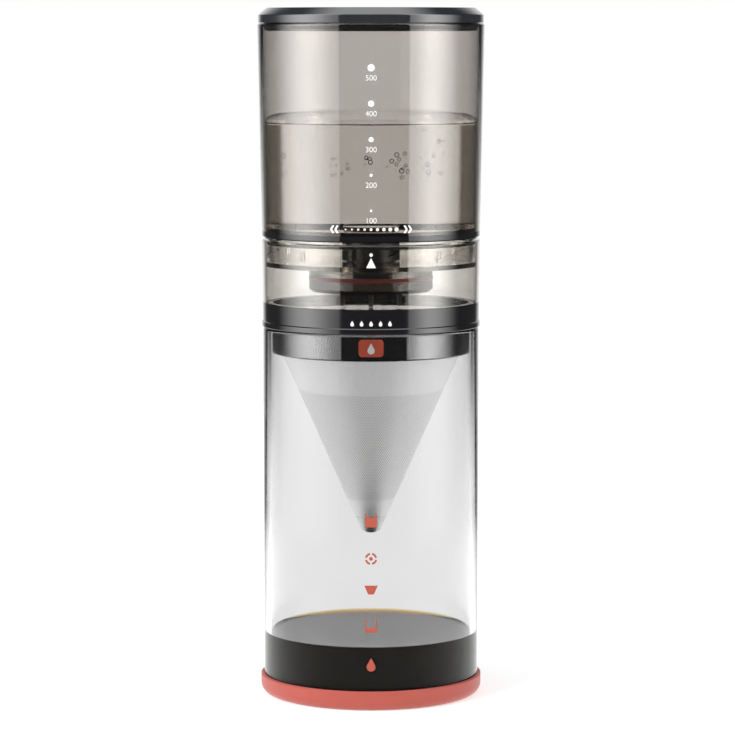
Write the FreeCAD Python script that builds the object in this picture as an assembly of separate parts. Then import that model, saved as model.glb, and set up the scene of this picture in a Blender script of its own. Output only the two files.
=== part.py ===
import FreeCAD, Part
import math
import os

# Slow-drip cold brew coffee maker, in millimetres. +Z is up, -Y is the front, and the origin is the
# centre of the foot. From the bottom: a glass server in a silicone boot, a steel cone filter that
# hangs from a stepped ring on the server's rim, a drip collar, a water tank that turns on the collar
# to set the drip rate, and a lid. The tank carries a sleeve with two helical cam slots. Pins in those
# slots lift a keyed carrier, whose needle opens or closes the orifice under the tank.

# Running and seating clearances
SEAT_GAP = 0.2
FIT_GAP = 0.1
PRESS_GAP = 0.02
LOOSE_GAP = 0.4
SLIDE_GAP = 0.3

# A rounding smaller than this is made as a flat bevel, which takes fewer faces
ARC_MIN_R = 2.0

# Silicone boot
BOOT_FLOOR = 2.0
BOOT_WALL = 1.3
BOOT_HEIGHT = 8.7
BOOT_RIM_ROUND = 0.5
BOOT_FOOT_ROUND = 4.2

# Glass server
GLASS_R = 46.8
GLASS_WALL = 2.7
GLASS_FLOOR = 4.0
GLASS_HEIGHT = 158.9
GLASS_FOOT_ROUND = 4.0
GLASS_RIM_ROUND = 0.6
GLASS_FLOOR_ROUND = 3.0

# Stepped ring that hangs the filter from the glass rim
RING_DROP = 11.5
RING_RISE = 10.5
RING_GLASS_GAP = 0.7
RING_WALL = 3.0
RING_EDGE_ROUND = 0.6
LEDGE_DEPTH = 3.6
LEDGE_WIDTH = 2.2

# Steel cone and its tip
CONE_SHEET = 0.6
CONE_TIP_Z = 69.5
CONE_TIP_R = 3.9
TIP_HEIGHT = 7.5
TIP_ROUND = 1.6
HOOP_HEIGHT = 1.6
HOOP_WIDTH = 1.6

# Badge on the ring
BADGE_WIDTH = 10.4
BADGE_HEIGHT = 7.4
BADGE_CORNER = 1.6
BADGE_THICK = 0.6
BADGE_PROUD = 0.2

# Spreader plate over the grounds
PLATE_THICK = 1.2
PLATE_HOLE_R = 1.2
PLATE_HOLE_PITCH = 11.4
PLATE_HOLE_RINGS = 2

# Drip collar
COLLAR_OVERHANG = 0.1
COLLAR_DRAFT = 0.4
COLLAR_WALL = 1.4
COLLAR_HEIGHT = 37.7
COLLAR_LIP_HEIGHT = 2.2
COLLAR_LIP_OUT = 0.4
COLLAR_EDGE_ROUND = 0.5
WEB_DEPTH = 9.3
WEB_THICK = 2.0
CUP_R = 27.0
CUP_WALL = 1.6
CUP_DROP = 4.2

# Drip head under the collar's cup
GASKET_THICK = 1.7
HEAD_HEIGHT = 5.2
HEAD_FLOOR = 1.6
HEAD_ROUND = 1.6
HEAD_SPIGOT_HEIGHT = 3.2
HEAD_SPIGOT_WALL = 1.2
NOZZLE_COUNT = 6
NOZZLE_CIRCLE_R = 14.2
NOZZLE_R = 1.35
NOZZLE_TIP_R = 1.0
NOZZLE_BORE_R = 0.5
DRIP_GAP = 1.3

# Tank
TANK_GAP = 1.1
TANK_FLARE = 1.7
TANK_WALL = 1.8
TANK_HEIGHT = 89.1
TANK_RIM_ROUND = 0.5
BASE_THICK = 2.7
BASE_STEP = 1.4
BASE_STEP_WIDTH = 3.0
BASE_EDGE_ROUND = 0.5

# Neck of the tank, which turns inside the collar
NECK_GAP = 0.9
NECK_WALL = 1.6
NECK_STEP_Z = 4.2
NECK_STEP_IN = 0.4
RIB_COUNT = 9
RIB_SPACING_DEG = 40.0
RIB_PAIR_GAP = 1.6
RIB_WIDTH = 0.8
RIB_HEIGHT = 4.6
RIB_FOOT = 1.5
RIB_OUT = 0.5
RAMP_COUNT = 3
RAMP_FIRST_DEG = -41.0
RAMP_SPAN_DEG = 22.0
RAMP_RISE = 4.2
RAMP_THICK = 1.1
O_RING_WIRE_R = 0.55
O_RING_DEPTH = 1.9

# Cam valve
CONTROL_HALF_TURN_DEG = 45.0
NEEDLE_TRAVEL = 1.5
PIN_R = 1.0
PIN_DEPTH = 4.9
PIN_PLAY = 0.3
PIN_END_PLAY_DEG = 9.0
ENTRY_DEG = 55.0
SLEEVE_WALL = 1.8
SLEEVE_LIFT = 0.5
SLEEVE_FLANGE_R = 17.0
SLEEVE_FLANGE = 1.3
GUIDE_WALL = 1.9
GUIDE_TOP_GAP = 1.7
GUIDE_FLANGE_WIDTH = 2.1
GUIDE_FLANGE = 1.2
CARRIER_R = 8.2
CARRIER_WALL = 1.8
CARRIER_TOP = 1.8
CARRIER_FLOOR = 1.7
CARRIER_FLOOR_LIFT = 2.3
CARRIER_WINDOW_R = 1.5
CARRIER_WINDOWS = 3
NEEDLE_R = 1.6
NEEDLE_TIP_R = 0.3
NEEDLE_SLOPE = 0.313
NEEDLE_HEAD_R = 2.3
NEEDLE_HEAD = 0.4
NEEDLE_SEAT_GAP = 0.07

# Outlet under the tank
SPIGOT_R = 5.4
SPIGOT_BORE_R = 4.0
SPIGOT_DROP = 14.9
SPIGOT_LIP = 0.6
SPIGOT_LIP_R = 3.2
SPIGOT_FLANGE_R = 9.0
SPIGOT_FLANGE = 1.2
OUTLET_GASKET_THICK = 0.8
NUT_R = 8.0
NUT_THICK = 1.3
SEAT_HEIGHT = 2.4
SEAT_BORE_R = 1.2
SEAT_LEAD_IN = 0.5

# Lid
LID_INSET = 0.3
LID_BEVEL = 3.6
LID_BAND = 3.4
LID_HEIGHT = 6.5
LID_PLATE = 2.2
LID_EDGE_ROUND = 0.6
SKIRT_DEPTH = 3.4
SKIRT_WALL = 1.6
SEAL_HEIGHT = 1.4
SEAL_DEPTH = 0.7
SEAL_PROUD = 0.2
SEAL_DROP = 1.2

# Heights of the stack, each worked out from what lies under it
GLASS_FOOT_Z = BOOT_FLOOR
GLASS_RIM_Z = GLASS_FOOT_Z + GLASS_HEIGHT
RING_SHOULDER_Z = GLASS_RIM_Z + SEAT_GAP
RING_FOOT_Z = GLASS_RIM_Z - RING_DROP
RING_TOP_Z = RING_SHOULDER_Z + RING_RISE
LEDGE_Z = RING_TOP_Z - LEDGE_DEPTH
PLATE_TOP_Z = LEDGE_Z + PLATE_THICK
NOZZLE_TIP_Z = PLATE_TOP_Z + DRIP_GAP
COLLAR_FOOT_Z = GLASS_RIM_Z + SEAT_GAP
COLLAR_TOP_Z = COLLAR_FOOT_Z + COLLAR_HEIGHT
WEB_TOP_Z = COLLAR_TOP_Z - WEB_DEPTH
WEB_UNDER_Z = WEB_TOP_Z - WEB_THICK
CUP_FOOT_Z = WEB_UNDER_Z - CUP_DROP
HEAD_TOP_Z = CUP_FOOT_Z - GASKET_THICK
HEAD_FOOT_Z = HEAD_TOP_Z - HEAD_HEIGHT
HEAD_FLOOR_Z = HEAD_FOOT_Z + HEAD_FLOOR
BASE_FOOT_Z = COLLAR_TOP_Z + TANK_GAP
BASE_TOP_Z = BASE_FOOT_Z + BASE_THICK
TANK_RIM_Z = BASE_TOP_Z + TANK_HEIGHT
LID_FOOT_Z = TANK_RIM_Z + SEAT_GAP
LID_TOP_Z = LID_FOOT_Z + LID_HEIGHT

# Radii that seat one piece in another
GLASS_BORE_R = GLASS_R - GLASS_WALL
COLLAR_FOOT_R = GLASS_R + COLLAR_OVERHANG
COLLAR_TOP_R = COLLAR_FOOT_R + COLLAR_DRAFT
COLLAR_BORE_R = COLLAR_FOOT_R - COLLAR_WALL
NECK_R = COLLAR_BORE_R - NECK_GAP
TANK_FOOT_R = COLLAR_TOP_R
TANK_RIM_R = TANK_FOOT_R + TANK_FLARE
LID_R = TANK_RIM_R - LID_INSET
LID_TOP_R = LID_R - LID_BEVEL
RING_LOWER_R = GLASS_BORE_R - RING_GLASS_GAP
RING_UPPER_R = COLLAR_BORE_R - LOOSE_GAP
RING_BORE_R = RING_LOWER_R - RING_WALL
CONE_HOOP_R = RING_BORE_R - FIT_GAP
CONE_TOP_R = CONE_HOOP_R - CONE_SHEET
CUP_BORE_R = CUP_R - CUP_WALL
GUIDE_BORE_R = CARRIER_R + SLIDE_GAP
GUIDE_R = GUIDE_BORE_R + GUIDE_WALL
SLEEVE_BORE_R = GUIDE_R + LOOSE_GAP
SLEEVE_R = SLEEVE_BORE_R + SLEEVE_WALL

# Heights inside the valve at the middle of its travel, where the part rests
SLEEVE_FOOT_Z = WEB_TOP_Z + SLEEVE_LIFT
SPIGOT_FOOT_Z = BASE_FOOT_Z - SPIGOT_DROP
SEAT_FOOT_Z = SPIGOT_FOOT_Z + SPIGOT_LIP
CARRIER_FOOT_Z = HEAD_FLOOR_Z + CARRIER_FLOOR_LIFT
PIN_Z = BASE_FOOT_Z - NUT_THICK - NEEDLE_TRAVEL - SLIDE_GAP - CARRIER_TOP
CAM_LEAD = NEEDLE_TRAVEL * 360.0 / CONTROL_HALF_TURN_DEG
UP = FreeCAD.Vector(0, 0, 1)
ORIGIN = FreeCAD.Vector(0, 0, 0)


def at(radius, height):
    """A point of a turned profile, in the XZ plane."""
    return FreeCAD.Vector(radius, 0, height)


def rounded_corner(before, corner, after, radius):
    """The arc or bevel that takes off one corner of a profile, with its two end points."""
    back = (before - corner).normalize()
    ahead = (after - corner).normalize()
    half_angle = back.getAngle(ahead) / 2
    reach = radius / math.tan(half_angle)
    start = corner + back * reach
    end = corner + ahead * reach
    if radius < ARC_MIN_R:
        return start, Part.makeLine(start, end), end
    centre = corner + (back + ahead).normalize() * (radius / math.sin(half_angle))
    middle = centre + (corner - centre).normalize() * radius
    return start, Part.Arc(start, middle, end).toShape(), end


def turned(corners):
    """A solid of revolution from (radius, height) corners, each with an optional rounding."""
    points = [at(corner[0], corner[1]) for corner in corners]
    edges = []
    ends = []
    for index, corner in enumerate(corners):
        point = points[index]
        if len(corner) == 3:
            following = points[(index + 1) % len(points)]
            start, edge, end = rounded_corner(points[index - 1], point, following, corner[2])
            ends.append((start, end))
            edges.append(edge)
        else:
            ends.append((point, point))
    for index, (start, end) in enumerate(ends):
        following = ends[(index + 1) % len(ends)][0]
        if end.distanceToPoint(following) > 1e-6:
            edges.append(Part.makeLine(end, following))
    outline = Part.Wire(Part.__sortEdges__(edges))
    return Part.Face(outline).revolve(ORIGIN, UP, 360)


def ring(inner, outer, low, high):
    """A plain flat-ended ring, or a disc when the inner radius is zero."""
    solid = Part.makeCylinder(outer, high - low, at(0, low))
    if inner > 0:
        solid = solid.cut(Part.makeCylinder(inner, high - low, at(0, low)))
    return solid


def around(solid, count, first_deg=0.0, spacing_deg=None):
    """Copies of a solid, turned about the axis."""
    step = 360.0 / count if spacing_deg is None else spacing_deg
    copies = []
    for index in range(count):
        copy = solid.copy()
        copy.rotate(ORIGIN, UP, first_deg + index * step)
        copies.append(copy)
    return copies


def radial_block(inner, outer, width, low, high):
    """A block that lies across +X, from one radius to another."""
    return Part.makeBox(outer - inner, width, high - low, FreeCAD.Vector(inner, -width / 2, low))


def helical_bar(inner, outer, height, lead, from_deg, to_deg, middle_z):
    """A bar of rectangular section that climbs a right-hand helix, at middle_z where it crosses +X."""
    radius = (inner + outer) / 2
    rise = lead * (to_deg - from_deg) / 360
    helix = Part.makeHelix(lead, rise, radius)
    corners = [at(inner, -height / 2), at(outer, -height / 2), at(outer, height / 2), at(inner, height / 2)]
    section = Part.makePolygon(corners + corners[:1])
    bar = Part.Wire(helix.Edges).makePipeShell([section], True, True)
    bar.rotate(ORIGIN, UP, from_deg)
    bar.translate(at(0, middle_z + lead * from_deg / 360))
    return Part.Solid(bar) if bar.ShapeType == "Shell" else bar


def silicone_base():
    bore = GLASS_R + FIT_GAP
    outer = bore + BOOT_WALL
    return turned([
        (0, 0),
        (outer, 0, BOOT_FOOT_ROUND),
        (outer, BOOT_HEIGHT, BOOT_RIM_ROUND),
        (bore, BOOT_HEIGHT),
        (bore, BOOT_FLOOR, GLASS_FOOT_ROUND - FIT_GAP),
        (0, BOOT_FLOOR),
    ])


def glass_server():
    return turned([
        (0, GLASS_FOOT_Z),
        (GLASS_R, GLASS_FOOT_Z, GLASS_FOOT_ROUND),
        (GLASS_R, GLASS_RIM_Z, GLASS_RIM_ROUND),
        (GLASS_BORE_R, GLASS_RIM_Z, GLASS_RIM_ROUND),
        (GLASS_BORE_R, GLASS_FOOT_Z + GLASS_FLOOR, GLASS_FLOOR_ROUND),
        (0, GLASS_FOOT_Z + GLASS_FLOOR),
    ])


def badge_outline(grow, inner, outer):
    """The badge's rounded rectangle, cut through the front of the ring between two radii."""
    width = BADGE_WIDTH + 2 * grow
    height = BADGE_HEIGHT + 2 * grow
    middle_z = (RING_FOOT_Z + GLASS_RIM_Z) / 2
    plate = Part.makeBox(width, outer, height, FreeCAD.Vector(-width / 2, -outer, middle_z - height / 2))
    corners = [edge for edge in plate.Edges if abs(edge.tangentAt(edge.FirstParameter).y) > 0.9]
    plate = plate.makeFillet(BADGE_CORNER + grow, corners)
    return plate.common(ring(inner, outer, middle_z - height, middle_z + height))


def filter_ring():
    body = turned([
        (RING_BORE_R, RING_FOOT_Z),
        (RING_LOWER_R, RING_FOOT_Z, RING_EDGE_ROUND),
        (RING_LOWER_R, RING_SHOULDER_Z),
        (RING_UPPER_R, RING_SHOULDER_Z),
        (RING_UPPER_R, RING_TOP_Z, RING_EDGE_ROUND),
        (RING_BORE_R + LEDGE_WIDTH, RING_TOP_Z),
        (RING_BORE_R + LEDGE_WIDTH, LEDGE_Z),
        (RING_BORE_R, LEDGE_Z),
    ])
    pocket_floor_r = RING_LOWER_R + BADGE_PROUD - BADGE_THICK
    return body.cut(badge_outline(FIT_GAP, pocket_floor_r, RING_UPPER_R))


def filter_badge():
    face_r = RING_LOWER_R + BADGE_PROUD
    return badge_outline(0.0, face_r - BADGE_THICK, face_r)


def cone_radius(height):
    """Outer radius of the cone at a height."""
    slope = (CONE_TOP_R - CONE_TIP_R) / (RING_FOOT_Z - CONE_TIP_Z)
    return CONE_TIP_R + slope * (height - CONE_TIP_Z)


def filter_cone():
    seam_z = CONE_TIP_Z + TIP_HEIGHT
    shoulder_z = RING_FOOT_Z + CONE_SHEET
    hoop_z = LEDGE_Z - HOOP_HEIGHT
    return turned([
        (cone_radius(seam_z) - CONE_SHEET, seam_z),
        (cone_radius(seam_z), seam_z),
        (cone_radius(RING_FOOT_Z), RING_FOOT_Z),
        (CONE_HOOP_R, shoulder_z),
        (CONE_HOOP_R, hoop_z),
        (CONE_HOOP_R - CONE_SHEET, hoop_z),
        (CONE_HOOP_R - CONE_SHEET, shoulder_z + CONE_SHEET),
    ])


def filter_hoop():
    return turned([
        (CONE_HOOP_R - HOOP_WIDTH, LEDGE_Z - HOOP_HEIGHT),
        (CONE_HOOP_R, LEDGE_Z - HOOP_HEIGHT),
        (CONE_HOOP_R, LEDGE_Z),
        (CONE_HOOP_R - HOOP_WIDTH, LEDGE_Z, CONE_SHEET),
    ])


def filter_tip():
    seam_z = CONE_TIP_Z + TIP_HEIGHT
    seam_r = cone_radius(seam_z)
    return turned([
        (0, CONE_TIP_Z),
        (CONE_TIP_R, CONE_TIP_Z, TIP_ROUND),
        (seam_r, seam_z),
        (seam_r - CONE_SHEET, seam_z),
        (CONE_TIP_R - CONE_SHEET, CONE_TIP_Z + CONE_SHEET),
        (0, CONE_TIP_Z + CONE_SHEET),
    ])


def spreader_plate():
    plate_r = RING_BORE_R + LEDGE_WIDTH - FIT_GAP
    plate = ring(0, plate_r, LEDGE_Z, PLATE_TOP_Z)
    holes = []
    for row in range(1, PLATE_HOLE_RINGS + 1):
        circle_r = row * PLATE_HOLE_PITCH
        drill = Part.makeCylinder(PLATE_HOLE_R, PLATE_THICK, at(circle_r, LEDGE_Z))
        holes += around(drill, 6 * row)
    return plate.cut(Part.makeCompound(holes))


def drip_collar():
    lip_z = COLLAR_FOOT_Z + COLLAR_LIP_HEIGHT
    lip_r = COLLAR_FOOT_R + COLLAR_LIP_OUT
    return turned([
        (COLLAR_BORE_R, COLLAR_FOOT_Z),
        (lip_r, COLLAR_FOOT_Z, COLLAR_LIP_OUT / 2),
        (lip_r, lip_z),
        (COLLAR_FOOT_R, lip_z + COLLAR_LIP_OUT),
        (COLLAR_TOP_R, COLLAR_TOP_Z, COLLAR_EDGE_ROUND),
        (COLLAR_BORE_R, COLLAR_TOP_Z, COLLAR_EDGE_ROUND),
    ])


def collar_web():
    """The floor across the collar, welded in at its edge, with the valve's guide in its middle."""
    return ring(GUIDE_R + FIT_GAP, COLLAR_BORE_R - PRESS_GAP, WEB_UNDER_Z, WEB_TOP_Z)


def valve_cup():
    """The short wall under the web that the drip head plugs into."""
    return ring(CUP_BORE_R, CUP_R, CUP_FOOT_Z, WEB_UNDER_Z)


def head_gasket():
    return ring(CUP_BORE_R, CUP_R, HEAD_TOP_Z, CUP_FOOT_Z)


def drip_head():
    spigot_r = CUP_BORE_R - FIT_GAP
    body = turned([
        (0, HEAD_FOOT_Z),
        (CUP_R, HEAD_FOOT_Z, HEAD_ROUND),
        (CUP_R, HEAD_TOP_Z),
        (spigot_r, HEAD_TOP_Z),
        (spigot_r, HEAD_TOP_Z + HEAD_SPIGOT_HEIGHT),
        (spigot_r - HEAD_SPIGOT_WALL, HEAD_TOP_Z + HEAD_SPIGOT_HEIGHT),
        (spigot_r - HEAD_SPIGOT_WALL, HEAD_FLOOR_Z),
        (0, HEAD_FLOOR_Z),
    ])
    drill = Part.makeCylinder(NOZZLE_R + PRESS_GAP, HEAD_FLOOR, at(NOZZLE_CIRCLE_R, HEAD_FOOT_Z))
    return body.cut(Part.makeCompound(around(drill, NOZZLE_COUNT, -90)))


def drip_nozzles():
    nozzle = turned([
        (NOZZLE_BORE_R, NOZZLE_TIP_Z),
        (NOZZLE_TIP_R, NOZZLE_TIP_Z),
        (NOZZLE_R, HEAD_FOOT_Z),
        (NOZZLE_R, HEAD_FLOOR_Z),
        (NOZZLE_BORE_R, HEAD_FLOOR_Z),
    ])
    nozzle.translate(at(NOZZLE_CIRCLE_R, 0))
    return Part.makeCompound(around(nozzle, NOZZLE_COUNT, -90))


def needle_guide():
    flange_z = WEB_UNDER_Z - GUIDE_FLANGE
    top_z = BASE_FOOT_Z - GUIDE_TOP_GAP
    tube = turned([
        (GUIDE_BORE_R, flange_z),
        (GUIDE_R + GUIDE_FLANGE_WIDTH, flange_z),
        (GUIDE_R + GUIDE_FLANGE_WIDTH, WEB_UNDER_Z),
        (GUIDE_R, WEB_UNDER_Z),
        (GUIDE_R, top_z),
        (GUIDE_BORE_R, top_z),
    ])
    slot_foot_z = PIN_Z - NEEDLE_TRAVEL - PIN_R - PIN_PLAY
    slot = radial_block(CARRIER_R, SLEEVE_R, 2 * (PIN_R + PIN_PLAY), slot_foot_z, BASE_FOOT_Z)
    return tube.cut(Part.makeCompound(around(slot, 2)))


def needle_carrier():
    bore = CARRIER_R - CARRIER_WALL
    floor_top_z = CARRIER_FOOT_Z + CARRIER_FLOOR
    body = turned([
        (NEEDLE_R + PRESS_GAP, CARRIER_FOOT_Z),
        (CARRIER_R, CARRIER_FOOT_Z, CARRIER_WALL / 3),
        (CARRIER_R, PIN_Z + CARRIER_TOP),
        (bore, PIN_Z + CARRIER_TOP),
        (bore, floor_top_z),
        (NEEDLE_R + PRESS_GAP, floor_top_z),
    ])
    window = Part.makeCylinder(CARRIER_WINDOW_R, CARRIER_FLOOR, at((NEEDLE_R + bore) / 2, CARRIER_FOOT_Z))
    holes = around(window, CARRIER_WINDOWS, 90)
    for side in around(pin_shape(PIN_R + PRESS_GAP), 2):
        holes.append(side)
    return body.cut(Part.makeCompound(holes))


def pin_shape(radius):
    """One cam pin, or its hole, along +X."""
    inner = SLEEVE_R - SLIDE_GAP - PIN_DEPTH
    return Part.makeCylinder(radius, PIN_DEPTH, at(inner, PIN_Z), FreeCAD.Vector(1, 0, 0))


def cam_pins():
    return Part.makeCompound(around(pin_shape(PIN_R), 2))


def valve_needle():
    closed_mouth_z = SEAT_FOOT_Z - NEEDLE_TRAVEL
    mouth_r = SEAT_BORE_R - NEEDLE_SEAT_GAP
    shank_top_z = closed_mouth_z - (NEEDLE_R - mouth_r) / NEEDLE_SLOPE
    tip_z = closed_mouth_z + (mouth_r - NEEDLE_TIP_R) / NEEDLE_SLOPE
    head_z = CARRIER_FOOT_Z - NEEDLE_HEAD
    return turned([
        (0, head_z),
        (NEEDLE_HEAD_R, head_z),
        (NEEDLE_HEAD_R, CARRIER_FOOT_Z),
        (NEEDLE_R, CARRIER_FOOT_Z),
        (NEEDLE_R, shank_top_z),
        (NEEDLE_TIP_R, tip_z),
        (0, tip_z),
    ])


def control_sleeve():
    tube = turned([
        (SLEEVE_BORE_R, SLEEVE_FOOT_Z),
        (SLEEVE_R, SLEEVE_FOOT_Z),
        (SLEEVE_R, BASE_FOOT_Z - SLEEVE_FLANGE),
        (SLEEVE_FLANGE_R, BASE_FOOT_Z - SLEEVE_FLANGE),
        (SLEEVE_FLANGE_R, BASE_FOOT_Z),
        (SLEEVE_BORE_R, BASE_FOOT_Z),
    ])
    slot_height = 2 * (PIN_R + PIN_PLAY)
    inner = GUIDE_R
    outer = SLEEVE_R + LOOSE_GAP
    low_deg = -CONTROL_HALF_TURN_DEG - PIN_END_PLAY_DEG
    high_deg = ENTRY_DEG + PIN_END_PLAY_DEG
    cam_slot = helical_bar(inner, outer, slot_height, CAM_LEAD, low_deg, high_deg, PIN_Z)
    entry_top_z = PIN_Z + CAM_LEAD * ENTRY_DEG / 360
    entry = radial_block(inner, outer, slot_height, SLEEVE_FOOT_Z, entry_top_z)
    entry.rotate(ORIGIN, UP, ENTRY_DEG)
    cut = around(cam_slot, 2) + around(entry, 2)
    for tool in cut:
        tube = tube.cut(tool)
    return tube


def outlet_spigot():
    flange_z = BASE_TOP_Z + OUTLET_GASKET_THICK
    return turned([
        (SPIGOT_LIP_R, SPIGOT_FOOT_Z),
        (SPIGOT_R, SPIGOT_FOOT_Z),
        (SPIGOT_R, flange_z),
        (SPIGOT_FLANGE_R, flange_z),
        (SPIGOT_FLANGE_R, flange_z + SPIGOT_FLANGE, SPIGOT_FLANGE / 2),
        (SPIGOT_BORE_R, flange_z + SPIGOT_FLANGE),
        (SPIGOT_BORE_R, SEAT_FOOT_Z),
        (SPIGOT_LIP_R, SEAT_FOOT_Z),
    ])


def orifice_seat():
    seat_top_z = SEAT_FOOT_Z + SEAT_HEIGHT
    seat_r = SPIGOT_BORE_R - PRESS_GAP
    return turned([
        (SEAT_BORE_R, SEAT_FOOT_Z),
        (seat_r, SEAT_FOOT_Z),
        (seat_r, seat_top_z),
        (SEAT_BORE_R + SEAT_LEAD_IN, seat_top_z),
        (SEAT_BORE_R, seat_top_z - SEAT_LEAD_IN),
    ])


def outlet_gasket():
    return ring(SPIGOT_R + FIT_GAP, SPIGOT_FLANGE_R, BASE_TOP_Z, BASE_TOP_Z + OUTLET_GASKET_THICK)


def spigot_nut():
    nut = ring(SPIGOT_R + PRESS_GAP, NUT_R, BASE_FOOT_Z - NUT_THICK, BASE_FOOT_Z)
    notch = radial_block(NUT_R - NUT_THICK, NUT_R + NUT_THICK, NUT_THICK, BASE_FOOT_Z - NUT_THICK, BASE_FOOT_Z)
    return nut.cut(Part.makeCompound(around(notch, 4, 45)))


def tank_base():
    step_r = TANK_FOOT_R - TANK_WALL - FIT_GAP
    step_z = BASE_TOP_Z + BASE_STEP
    hole_r = SPIGOT_R + FIT_GAP
    return turned([
        (hole_r, BASE_FOOT_Z),
        (TANK_FOOT_R, BASE_FOOT_Z, BASE_EDGE_ROUND),
        (TANK_FOOT_R, BASE_TOP_Z),
        (step_r, BASE_TOP_Z),
        (step_r, step_z),
        (step_r - BASE_STEP_WIDTH, step_z),
        (step_r - BASE_STEP_WIDTH, BASE_TOP_Z),
        (hole_r, BASE_TOP_Z),
    ])


def water_tank():
    return turned([
        (TANK_FOOT_R - TANK_WALL, BASE_TOP_Z),
        (TANK_FOOT_R, BASE_TOP_Z),
        (TANK_RIM_R, TANK_RIM_Z, TANK_RIM_ROUND),
        (TANK_RIM_R - TANK_WALL, TANK_RIM_Z, TANK_RIM_ROUND),
    ])


def tank_neck():
    foot_z = WEB_TOP_Z + SEAT_GAP
    bore = NECK_R - NECK_WALL
    groove_z = BASE_FOOT_Z - O_RING_DEPTH
    groove_low_z = groove_z - 2 * O_RING_WIRE_R
    groove_r = o_ring_centre_r() - O_RING_WIRE_R
    tube = turned([
        (bore, foot_z),
        (NECK_R - NECK_STEP_IN, foot_z),
        (NECK_R - NECK_STEP_IN, foot_z + NECK_STEP_Z),
        (NECK_R, foot_z + NECK_STEP_Z),
        (NECK_R, groove_low_z),
        (groove_r, groove_low_z),
        (groove_r, groove_z),
        (NECK_R, groove_z),
        (NECK_R, BASE_FOOT_Z),
        (bore, BASE_FOOT_Z),
    ])
    inner = NECK_R - NECK_STEP_IN - NECK_WALL / 3
    outer = NECK_R + RIB_OUT
    rib = radial_block(inner, outer, RIB_WIDTH, foot_z + RIB_FOOT, foot_z + RIB_FOOT + RIB_HEIGHT)
    pair = []
    for side in (-1, 1):
        one = rib.copy()
        one.translate(FreeCAD.Vector(0, side * RIB_PAIR_GAP / 2, 0))
        pair += around(one, RIB_COUNT, -90, RIB_SPACING_DEG)
    ramp_lead = RAMP_RISE * 360 / RAMP_SPAN_DEG
    ramp_z = foot_z + RIB_FOOT + RIB_HEIGHT / 2
    half_span = RAMP_SPAN_DEG / 2
    ramp = helical_bar(inner, outer, RAMP_THICK, ramp_lead, -half_span, half_span, ramp_z)
    return tube.multiFuse(pair + around(ramp, RAMP_COUNT, RAMP_FIRST_DEG))


def o_ring_centre_r():
    """The O-ring stands out of its groove as far as the ribs do."""
    return NECK_R + RIB_OUT - O_RING_WIRE_R


def neck_o_ring():
    """The wire's section is an octagon about its circle."""
    inner = o_ring_centre_r() - O_RING_WIRE_R
    outer = o_ring_centre_r() + O_RING_WIRE_R
    high = BASE_FOOT_Z - O_RING_DEPTH
    low = high - 2 * O_RING_WIRE_R
    bevel = O_RING_WIRE_R * (2 - math.sqrt(2))
    return turned([(inner, low, bevel), (outer, low, bevel), (outer, high, bevel), (inner, high, bevel)])


def tank_bore_r(height):
    """Inner radius of the tapered tank at a height."""
    share = (height - BASE_TOP_Z) / TANK_HEIGHT
    return TANK_FOOT_R - TANK_WALL + share * (TANK_RIM_R - TANK_FOOT_R)


def lid_cap():
    skirt_foot_z = TANK_RIM_Z - SKIRT_DEPTH
    skirt_r = tank_bore_r(skirt_foot_z) - LOOSE_GAP
    groove_r = skirt_r - SEAL_DEPTH
    groove_top_z = TANK_RIM_Z - SEAL_DROP
    groove_foot_z = groove_top_z - SEAL_HEIGHT
    under_z = LID_TOP_Z - LID_PLATE
    return turned([
        (0, LID_TOP_Z),
        (LID_TOP_R, LID_TOP_Z, LID_EDGE_ROUND),
        (LID_R, LID_FOOT_Z + LID_BAND, LID_EDGE_ROUND),
        (LID_R, LID_FOOT_Z, LID_EDGE_ROUND / 2),
        (skirt_r, LID_FOOT_Z),
        (skirt_r, groove_top_z),
        (groove_r, groove_top_z),
        (groove_r, groove_foot_z),
        (skirt_r, groove_foot_z),
        (skirt_r, skirt_foot_z),
        (groove_r - SKIRT_WALL, skirt_foot_z),
        (groove_r - SKIRT_WALL, under_z, SKIRT_WALL),
        (0, under_z),
    ])


def lid_seal():
    skirt_r = tank_bore_r(TANK_RIM_Z - SKIRT_DEPTH) - LOOSE_GAP
    top_z = TANK_RIM_Z - SEAL_DROP
    return turned([
        (skirt_r - SEAL_DEPTH, top_z - SEAL_HEIGHT),
        (skirt_r, top_z - SEAL_HEIGHT),
        (skirt_r + SEAL_PROUD, top_z - SEAL_HEIGHT / 2),
        (skirt_r, top_z),
        (skirt_r - SEAL_DEPTH, top_z),
    ])


PIECES = [
    silicone_base,
    glass_server,
    filter_ring,
    filter_badge,
    filter_cone,
    filter_hoop,
    filter_tip,
    spreader_plate,
    drip_collar,
    collar_web,
    valve_cup,
    head_gasket,
    drip_head,
    drip_nozzles,
    needle_guide,
    needle_carrier,
    cam_pins,
    valve_needle,
    control_sleeve,
    outlet_spigot,
    orifice_seat,
    outlet_gasket,
    spigot_nut,
    tank_base,
    water_tank,
    tank_neck,
    neck_o_ring,
    lid_cap,
    lid_seal,
]

os.makedirs("parts", exist_ok=True)
for piece in PIECES:
    shape = piece()
    shape.exportStep("parts/" + piece.__name__ + ".step")
    print(piece.__name__, "solids", len(shape.Solids), "volume", round(shape.Volume, 1), shape.isValid())
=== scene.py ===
import math
import random

import bmesh
import bpy
from mathutils import Matrix, Vector


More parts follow.
